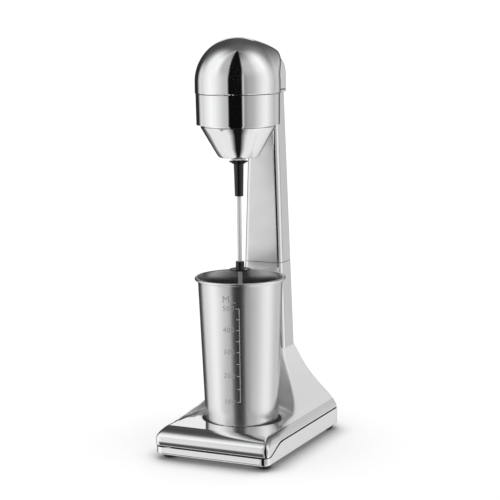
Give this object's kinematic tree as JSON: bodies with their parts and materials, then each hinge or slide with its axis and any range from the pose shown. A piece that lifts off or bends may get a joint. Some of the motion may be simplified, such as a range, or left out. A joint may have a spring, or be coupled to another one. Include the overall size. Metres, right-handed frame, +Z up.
{
  "type": "milkshake mixer",
  "caption": "Bar milkshake mixer: a tilting motor head on a chrome column drives a stirring spindle into a removable steel cup.",
  "frame": {"origin": "centre of the base's footprint, on the counter", "axes": "+Z up along the column, -Y towards the cup side (the front), +X to the right seen from the front"},
  "size_m": [0.12, 0.177, 0.3996],
  "materials": {
    "base_chrome": "polished",
    "column_chrome": "polished",
    "head_chrome": "polished",
    "black_rubber": "matte",
    "cup_steel": "brushed",
    "polished_steel": "polished",
    "bright_steel": "satin",
    "black_plastic": "gloss",
    "inner_plastic": "matte",
    "light_seal": "satin",
    "iron_core": "matte",
    "copper": "satin",
    "carbon": "matte",
    "cast_alloy": "satin",
    "bracket_steel": "satin"
  },
  "bodies": {
    "base": {"base_pan": "base_chrome", "base_shell": "base_chrome", "lower_panel": "column_chrome", "rubber_feet": "black_rubber", "base_screws": "bright_steel", "cup_mat": "black_rubber", "cord_gland": "black_rubber", "column_upper": "column_chrome", "upper_panel": "column_chrome", "column_joint": "bracket_steel", "hinge_bracket": "bracket_steel", "hinge_pin": "polished_steel", "switch_bezel": "black_plastic", "switch_body": "inner_plastic"},
    "head": {"head_ring": "head_chrome", "dome_cover": "head_chrome", "lower_cone": "head_chrome", "shaft_seal": "light_seal", "lower_bearing": "bright_steel", "stator_core": "iron_core", "field_coils": "copper", "lower_bracket": "cast_alloy", "upper_bracket": "cast_alloy", "upper_bearing": "bright_steel", "motor_screws": "bright_steel", "brush_holders": "inner_plastic", "carbon_brushes": "carbon"},
    "rotor": {"motor_shaft": "polished_steel", "armature_core": "iron_core", "armature_windings": "copper", "commutator": "copper", "cooling_fan": "inner_plastic"},
    "spindle": {"coupling_sleeve": "black_plastic", "spindle_rod": "polished_steel", "splash_disc": "black_plastic", "agitator": "polished_steel"},
    "cup": {"mixing_cup": "cup_steel"},
    "rocker": {"rocker_switch": "black_plastic"}
  },
  "joints": [
    {"name": "head_tilt", "type": "hinge", "parent": "base", "child": "head", "pos_m": [0, 0.06, 0.3445], "axis": [-1, 0, 0], "range_deg": [0, 45]},
    {"name": "rotor_spin", "type": "hinge", "parent": "head", "child": "rotor", "pos_m": [0, -0.0175, 0.33], "axis": [0, 0, 1], "continuous": true},
    {"name": "spindle_pull", "type": "slide", "parent": "rotor", "child": "spindle", "axis": [0, 0, -1], "range_m": [0, 0.012]},
    {"name": "cup_draw", "type": "slide", "parent": "base", "child": "cup", "axis": [0, -0.9659, 0.2588], "range_m": [0, 0.1965]},
    {"name": "rocker_tip", "type": "hinge", "parent": "base", "child": "rocker", "pos_m": [0, 0.059, 0.265], "axis": [1, 0, 0], "range_deg": [-12, 12]}
  ],
  "couplings": [
    {"joint": "cup_draw", "follows": "head_tilt", "m_per_rad": 0.25}
  ]
}
